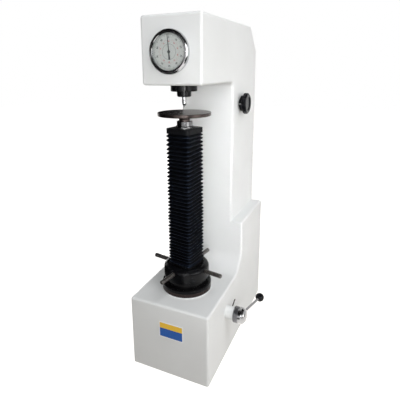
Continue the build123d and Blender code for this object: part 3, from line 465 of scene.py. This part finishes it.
handleAxis = (0, 0.021, 0.1515)
finishes = {
    "whitePaint": whiteEnamel(),
    "blackPaint": smoothBlack("blackEnamel", (0.0022, 0.0022, 0.0026), (0.0055, 0.0058, 0.007),
                              (0.16, 0.26), grain=700.0, bump=0.08, shine=0.15),
    "blackened": metal("blackenedSteel", (0.055, 0.049, 0.046), (0.15, 0.14, 0.135), (0.20, 0.34),
                       metallic=0.6),
    "blackenedTurned": turnedMetal("blackenedTurned", (0.018, 0.017, 0.017), (0.045, 0.042, 0.042),
                                   (0.26, 0.44)),
    "ringBlack": brownedFoot("ringBlack", (0.0024, 0.0023, 0.0026), (0.0048, 0.0046, 0.0052),
                             brown=(0.030, 0.021, 0.019), level=0.2385, fade=0.001),
    "bright": metal("brightSteel", (0.45, 0.45, 0.44), (0.62, 0.62, 0.61), (0.22, 0.38)),
    "ground": metal("groundSteel", (0.50, 0.50, 0.50), (0.66, 0.66, 0.66), (0.14, 0.28)),
    "anvil": turnedMetal("anvilSteel", (0.034, 0.027, 0.025), (0.090, 0.072, 0.067), (0.18, 0.34),
                         metallic=0.9),
    "headSteel": turnedMetal("headSteel", (0.13, 0.13, 0.133), (0.24, 0.24, 0.245), (0.10, 0.20)),
    "spindle": turnedMetal("spindleSteel", (0.30, 0.30, 0.31), (0.42, 0.42, 0.43), (0.14, 0.26)),
    "chrome": metal("chrome", (0.50, 0.50, 0.51), (0.60, 0.60, 0.61), (0.08, 0.16), bump=0.03),
    "rodSteel": metal("rodSteel", (0.22, 0.22, 0.225), (0.32, 0.32, 0.325), (0.07, 0.14),
                      bump=0.03),
    "hubChrome": turnedMetal("hubChrome", (0.34, 0.34, 0.345), (0.48, 0.48, 0.485), (0.10, 0.22),
                             "X", handleAxis),
    "satinSteel": turnedMetal("satinSteel", (0.20, 0.20, 0.21), (0.31, 0.31, 0.325), (0.26, 0.42),
                              "X", handleAxis),
    "iron": metal("castIron", (0.09, 0.09, 0.092), (0.17, 0.17, 0.172), (0.45, 0.7), grain=220.0,
                  bump=0.35),
    "brass": turnedMetal("brass", (0.50, 0.36, 0.14), (0.68, 0.50, 0.22), (0.2, 0.35)),
    "aluminium": metal("aluminium", (0.55, 0.56, 0.57), (0.68, 0.69, 0.70), (0.25, 0.42)),
    "cloth": bellowsCloth(),
    "glossBlack": smoothBlack("glossBlack", (0.004, 0.004, 0.005), (0.009, 0.0095, 0.012),
                              (0.08, 0.17), grain=300.0, bump=0.03, shine=0.16),
    "matteBlack": smoothBlack("matteBlack", (0.003, 0.003, 0.0036), (0.0075, 0.008, 0.010),
                              (0.36, 0.55), grain=900.0, bump=0.15, shine=0.12),
    "glass": clearGlass(),
    "dialWhite": plainInk("dialWhite", (0.49, 0.495, 0.475)),
    "inkBlack": plainInk("inkBlack", (0.006, 0.006, 0.007)),
    "inkRed": plainInk("inkRed", (0.40, 0.045, 0.04)),
    "inkWhite": plainInk("inkWhite", (0.90, 0.90, 0.90)),
    "labelYellow": plainInk("labelYellow", (0.92, 0.56, 0.05), 0.4),
    "labelBlue": plainInk("labelBlue", (0.028, 0.125, 0.46), 0.4),
}
nodeFinish = {
    "whitePaint": ["main_frame", "top_cover", "rear_cover", "handle_boss"],
    "blackPaint": ["capstan_wheel", "spindle_guide"],
    "ringBlack": ["base_ring"],
    "blackenedTurned": ["capstan_lock_ring", "guide_lock_nut"],
    "blackened": ["capstan_spokes", "indenter_lock_screw", "stop_pin"],
    "bright": ["top_cover_screws", "rear_cover_screws", "elevating_screw", "indicator_arm",
               "weight_hanger", "dashpot_piston", "dashpot_cylinder", "handle_shaft",
               "drag_link", "cam_shaft", "selector_bush", "selector_shaft"],
    "ground": ["thrust_race_lower", "thrust_race_upper", "thrust_balls", "guide_key",
               "knife_edges", "fulcrum_seat", "indicator_plunger", "lift_cam"],
    "anvil": ["anvil"],
    "spindle": ["spindle", "indenter"],
    "headSteel": ["screw_head"],
    "chrome": ["dial_bezel"],
    "rodSteel": ["handle_rod"],
    "hubChrome": ["hub_nose"],
    "satinSteel": ["hub_collar"],
    "iron": ["screw_sleeve", "main_lever", "fulcrum_bracket", "weights", "dashpot_bracket",
             "crank_arm", "cam_bracket"],
    "brass": ["lifting_nut"],
    "aluminium": ["dial_case", "dashpot_lid"],
    "cloth": ["bellows"],
    "glossBlack": ["handle_ball", "selector_knob"],
    "matteBlack": ["bellows_base_frame", "bellows_cap", "selector_skirt"],
    "glass": ["dial_glass"],
    "dialWhite": ["dial_face"],
    "inkBlack": ["pointer", "pointer_shaft"],
}
for finish, names in nodeFinish.items():
    for name in names:
        node = nodes[name]
        node.data.materials.clear()
        node.data.materials.append(finishes[finish])
left = set(nodes) - {n for names in nodeFinish.values() for n in names}
print("finishes on the frame, without one:", sorted(left))

# bellows: a square pleated sleeve between the capstan and the anvil's neck
bellows = {
    "foot": 313.3, "collar": 4.0, "foldEnd": 711.0, "top": 721.5, "turn": -10, "cloth": 0.8,
    "sleeve": 37.2, "ridge": 40.0, "valley": 33.6,  # half widths
    "corner": 6.5, "cornerSteps": 3, "cuts": 5, "smooth": 38,
    "folds": 36, "stretch": 0.09,  # how much more open the upper folds hang
    # each fold differs a little in height, width and in where its ridge lies
    "seed": 11, "uneven": 0.55, "ridgeVary": (-0.45, 0.35), "valleyVary": 0.4, "shareVary": 0.08,
    # the folds rise at the back, less and less towards both ends
    "lean": 4.2, "leanFade": 45.0,
    # each point strays sideways and in height, but not close to the two ends
    "waver": 0.22, "waverUp": 0.35, "calmFoot": 6.0, "calmTop": 2.0,
    # edges that are nearly level, this far out and this high up are ridges and get rounded
    "round": 0.7, "levelEdge": 1.1, "roundSide": 37.5, "roundCorner": 49.5, "roundFrom": 318.0,
}


def startBellows(b):
    # a square outline with round corners, its straight sides cut up
    bpy.ops.mesh.primitive_plane_add(size=2 * b["sleeve"] * mm, location=(0, 0, b["foot"] * mm))
    piece = bpy.context.object
    piece.name = "bellows_folds"
    bpy.ops.object.transform_apply(location=True)
    toEdit()
    pickAll()
    bpy.ops.mesh.bevel(offset=b["corner"] * mm, segments=b["cornerSteps"], affect="VERTICES")
    bpy.ops.mesh.delete(type="ONLY_FACE")
    pickBy(piece, "EDGE", lambda edge, centre: min(abs(centre.x), abs(centre.y)) < slack)
    bpy.ops.mesh.subdivide(number_cuts=b["cuts"])
    pickAll()
    return piece


def drawFolds(b, draw):
    # the outline is drawn up in steps, out to each ridge and in to each valley
    level, half = b["foot"], b["sleeve"]

    def step(rise, newHalf):
        nonlocal level, half
        level += rise
        bpy.ops.mesh.extrude_edges_move(TRANSFORM_OT_translate={"value": (0, 0, rise * mm)})
        size = newHalf / half
        bpy.ops.transform.resize(value=(size, size, 1), center_override=(0, 0, level * mm))
        half = newHalf

    step(b["collar"], b["sleeve"])
    start = level
    for fold in range(b["folds"]):
        place = (fold + 1) / b["folds"]
        place *= 1 - b["stretch"] * (1 - place)
        rise = start + (b["foldEnd"] - start) * place - level
        share = 0.5 + draw.uniform(-b["shareVary"], b["shareVary"])
        drift = draw.uniform(-b["uneven"], b["uneven"]) if fold < b["folds"] - 1 else 0
        ridge = b["ridge"] + draw.uniform(*b["ridgeVary"])
        valley = b["valley"] + draw.uniform(-b["valleyVary"], b["valleyVary"])
        step(rise * share, ridge)
        step(rise * (1 - share) + drift, valley)
    step(b["top"] - level, b["valley"])
    toObject()


def leanFolds(piece, b, draw):
    # the folds lean, higher at the back, and their straight runs waver a little
    start = b["foot"] + b["collar"]
    for vertex in piece.data.vertices:
        room = min(vertex.co.z / mm - start, b["foldEnd"] - vertex.co.z / mm) / b["leanFade"]
        vertex.co.z += b["lean"] * vertex.co.y / b["ridge"] * min(1, max(0, room))
        if b["foot"] + b["calmFoot"] < vertex.co.z / mm < b["foldEnd"] - b["calmTop"]:
            vertex.co.x += draw.uniform(-b["waver"], b["waver"]) * mm
            vertex.co.y += draw.uniform(-b["waver"], b["waver"]) * mm
            vertex.co.z += draw.uniform(-b["waverUp"], b["waverUp"]) * mm


def roundRidges(piece, b):
    def isRidge(edge, centre):
        start, end = (piece.data.vertices[i].co for i in edge.vertices)
        isLevel = abs(start.z - end.z) < b["levelEdge"] * mm
        onSide = max(abs(centre.x), abs(centre.y)) > b["roundSide"] * mm
        onCorner = math.hypot(centre.x, centre.y) > b["roundCorner"] * mm
        return isLevel and (onSide or onCorner) and centre.z > b["roundFrom"] * mm

    pickBy(piece, "EDGE", isRidge)
    bpy.ops.mesh.bevel(offset=b["round"] * mm, segments=2, affect="EDGES")


def makeBellows(b):
    clearPick()
    draw = random.Random(b["seed"])
    piece = startBellows(b)
    drawFolds(b, draw)
    leanFolds(piece, b, draw)
    roundRidges(piece, b)
    pickAll()
    bpy.ops.transform.rotate(value=-math.radians(b["turn"]), orient_axis="Z",
                             center_override=(0, 0, 0))
    toObject()
    giveWall(piece, b["cloth"] * mm)
    settle(piece, b["smooth"])
    piece.data.materials.append(finishes["cloth"])
    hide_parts("bellows")
    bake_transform(piece)


makeBellows(bellows)
print("bellows folded")

# dial: a printed plate with two scales, on the ring that turns
dial = {"z": 931.5, "front": -83.25, "back": -82.0, "radius": 46.3, "sides": 128, "smooth": 25,
        "field": 18.6, "fieldStep": 0.12, "well": 3.5, "wellRim": 0.6, "wellStep": 0.3,
        "scale": 43.8, "ink": 0.06, "bold": 0.12, "lineSides": 96, "textSteps": 3,
        "numbers": 10, "numberStep": 10, "numberEnd": 100}
dialTicks = {
    "dial_ticks_fine": {"count": 100, "outer": dial["scale"], "length": 3.0, "width": 0.42,
                        "colour": "inkBlack"},
    "dial_ticks_tens": {"count": 20, "outer": dial["scale"], "length": 4.8, "width": 0.8,
                        "colour": "inkBlack"},
    "dial_ticks_inner": {"count": 50, "outer": 29.6, "length": 1.8, "width": 0.45,
                         "colour": "inkRed"},
}
dialLines = {
    "dial_line_outer": {"radius": dial["scale"], "width": 0.4, "colour": "inkBlack"},
    "dial_line_inner": {"radius": dial["field"], "width": 0.6, "colour": "inkBlack"},
}
dialNumbers = {
    "dial_numbers_black": {"first": 0, "radius": 34.8, "size": 6.6, "colour": "inkBlack"},
    "dial_numbers_red": {"first": 30, "radius": 25.2, "size": 4.4, "colour": "inkRed"},
}


def makeDialPlate(d):
    clearPick()
    middle = (0, (d["front"] + d["back"]) / 2 * mm, d["z"] * mm)
    bpy.ops.mesh.primitive_cylinder_add(vertices=d["sides"], radius=d["radius"] * mm,
                                        depth=(d["back"] - d["front"]) * mm, location=middle,
                                        rotation=acrossY)
    plate = bpy.context.object
    plate.name = "dial_plate"
    bpy.ops.object.transform_apply(location=True, rotation=True)
    # the inner field steps back a little, and its middle sinks into a shallow well
    pickBy(plate, "FACE", lambda face, centre: facesFront(face))
    bpy.ops.mesh.inset(thickness=(d["radius"] - d["field"]) * mm)
    bpy.ops.transform.translate(value=(0, d["fieldStep"] * mm, 0))
    bpy.ops.mesh.inset(thickness=(d["field"] - d["well"]) * mm)
    bpy.ops.mesh.inset(thickness=d["wellRim"] * mm)
    bpy.ops.transform.translate(value=(0, d["wellStep"] * mm, 0))
    toObject()
    settle(plate, d["smooth"])
    plate.data.materials.append(finishes["dialWhite"])
    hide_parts("dial_face")
    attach(plate, "dial_ring")


def inkMiddle(d):
    return (d["front"] - d["ink"] / 2) * mm


def makeTicks(name, t, d):
    clearPick()
    middle = t["outer"] - t["length"] / 2
    bpy.ops.mesh.primitive_cube_add(size=1, location=(0, inkMiddle(d), (d["z"] + middle) * mm))
    tick = bpy.context.object
    tick.name = name
    tick.scale = (t["width"] * mm, d["ink"] * mm, t["length"] * mm)
    bpy.ops.object.transform_apply(location=True, scale=True)
    toEdit()
    pickAll()
    bpy.ops.mesh.spin(steps=t["count"], angle=2 * math.pi, center=(0, 0, d["z"] * mm),
                      axis=(0, 1, 0), dupli=True)
    pickAll()
    bpy.ops.mesh.remove_doubles(threshold=weld)
    toObject()
    settle(tick)
    tick.data.materials.append(finishes[t["colour"]])
    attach(tick, "dial_ring")


def makeCircle(name, c, d):
    clearPick()
    middle = (0, inkMiddle(d), d["z"] * mm)
    bpy.ops.mesh.primitive_circle_add(vertices=d["lineSides"], radius=c["radius"] * mm,
                                      location=middle, rotation=acrossY)
    line = bpy.context.object
    line.name = name
    toEdit()
    pickAll()
    bpy.ops.mesh.extrude_edges_move()
    size = 1 + c["width"] / c["radius"]
    bpy.ops.transform.resize(value=(size, size, size), center_override=middle)
    pickAll()
    bpy.ops.mesh.extrude_region_move(TRANSFORM_OT_translate={"value": (0, d["ink"] / 2 * mm, 0)})
    pickAll()
    bpy.ops.mesh.normals_make_consistent(inside=False)
    toObject()
    settle(line)
    line.data.materials.append(finishes[c["colour"]])
    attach(line, "dial_ring")


def makeNumber(words, angle, n, d):
    clearPick()
    bpy.ops.object.text_add()
    text = bpy.context.object
    text.data.body = words
    text.data.size = n["size"] * mm
    text.data.align_x, text.data.align_y = "CENTER", "CENTER"
    text.data.extrude = d["ink"] / 2 * mm
    text.data.offset = d["bold"] * mm
    text.data.resolution_u = d["textSteps"]
    bpy.ops.object.convert(target="MESH")
    upright = Matrix.Rotation(quarter, 4, "X")
    place = Matrix.Translation((n["radius"] * mm * math.sin(angle), inkMiddle(d),
                                (d["z"] + n["radius"] * math.cos(angle)) * mm))
    text.data.transform(place @ Matrix.Rotation(angle, 4, "Y") @ upright)
    return text


def makeNumbers(name, n, d):
    made = []
    for i in range(d["numbers"]):
        words = str((n["first"] + d["numberStep"] * i) % d["numberEnd"])
        made.append(makeNumber(words, math.radians(360 / d["numbers"] * i), n, d))
    numbers = joinPieces(made, name)
    toEdit()
    pickAll()
    bpy.ops.mesh.remove_doubles(threshold=weld)
    toObject()
    settle(numbers)
    numbers.data.materials.clear()
    numbers.data.materials.append(finishes[n["colour"]])
    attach(numbers, "dial_ring")


makeDialPlate(dial)
for name, ticks in dialTicks.items():
    makeTicks(name, ticks, dial)
for name, line in dialLines.items():
    makeCircle(name, line, dial)
for name, numbers in dialNumbers.items():
    makeNumbers(name, numbers, dial)
print("dial printed")

# plate on the base: two plain colour fields in a white border
basePlate = {"x": 9.0, "z": 148.6, "width": 78.0, "height": 50.5, "face": -130.0, "thick": 0.7,
             "border": 2.6, "recess": 0.08, "corner": 1.6, "cornerSteps": 4, "split": 0.40}


def makePlate(p):
    clearPick()
    x, z, border = p["x"] * mm, p["z"] * mm, p["border"] * mm
    halfWidth, halfHeight = p["width"] / 2 * mm, p["height"] / 2 * mm
    middle = (x, (p["face"] - p["thick"] / 2) * mm, z)
    bpy.ops.mesh.primitive_cube_add(size=1, location=middle)
    piece = bpy.context.object
    piece.name = "base_plate"
    piece.scale = (p["width"] * mm, p["thick"] * mm, p["height"] * mm)
    bpy.ops.object.transform_apply(location=True, scale=True)
    pickBy(piece, "EDGE", lambda edge, centre: abs(abs(centre.x - x) - halfWidth) < slack
           and abs(abs(centre.z - z) - halfHeight) < slack)
    bpy.ops.mesh.bevel(offset=p["corner"] * mm, segments=p["cornerSteps"], affect="EDGES")
    pickBy(piece, "FACE", lambda face, centre: facesFront(face))
    bpy.ops.mesh.inset(thickness=border)
    bpy.ops.transform.translate(value=(0, p["recess"] * mm, 0))
    splitZ = (p["z"] + p["height"] / 2 - p["height"] * p["split"]) * mm
    bpy.ops.mesh.bisect(plane_co=(0, 0, splitZ), plane_no=(0, 0, 1))
    toObject()
    for name in ("inkWhite", "labelYellow", "labelBlue"):
        piece.data.materials.append(finishes[name])
    for face in piece.data.polygons:
        inWidth = abs(face.center.x - x) < halfWidth - border
        inHeight = abs(face.center.z - z) < halfHeight - border
        if facesFront(face) and inWidth and inHeight:
            face.material_index = 1 if face.center.z > splitZ else 2
    settle(piece)
    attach(piece, "frame")


makePlate(basePlate)
print("plate fixed")

# index line over the rim of the selector's skirt
mark = {"y": 235.0, "z": 778.5, "rim": 25.0, "face": 97.9, "skirt": 4.0, "ease": 1.5,
        "inner": 18.0, "width": 1.7, "thick": 0.12, "proud": 0.02, "foot": 0.3}


def makeMark(m):
    clearPick()
    # its path goes up the skirt from just over its foot, over the rim and in across the face
    front = m["y"] - m["rim"] - m["proud"]
    face = m["face"] + m["proud"]
    path = [(m["face"] - m["skirt"] + m["foot"], front), (m["face"] - m["ease"], front),
            (face, front + m["ease"]), (face, m["y"] - m["inner"])]
    startX, startY = path[0]
    bpy.ops.mesh.primitive_plane_add(size=m["width"] * mm, rotation=acrossY,
                                     location=(startX * mm, startY * mm, m["z"] * mm))
    piece = bpy.context.object
    piece.name = "selector_mark"
    bpy.ops.object.transform_apply(location=True, rotation=True)
    # the plane is narrowed to an upright edge, which is then drawn along the path
    toEdit()
    pickAll()
    bpy.ops.transform.resize(value=(0, 1, 1), center_override=(startX * mm, 0, 0))
    bpy.ops.mesh.remove_doubles(threshold=weld)
    pickAll()
    for here, there in zip(path, path[1:]):
        move = ((there[0] - here[0]) * mm, (there[1] - here[1]) * mm, 0)
        bpy.ops.mesh.extrude_edges_move(TRANSFORM_OT_translate={"value": move})
    toObject()
    giveWall(piece, m["thick"] * mm)
    settle(piece)
    piece.data.materials.append(finishes["inkWhite"])
    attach(piece, "selector")


makeMark(mark)
print("selector marked")
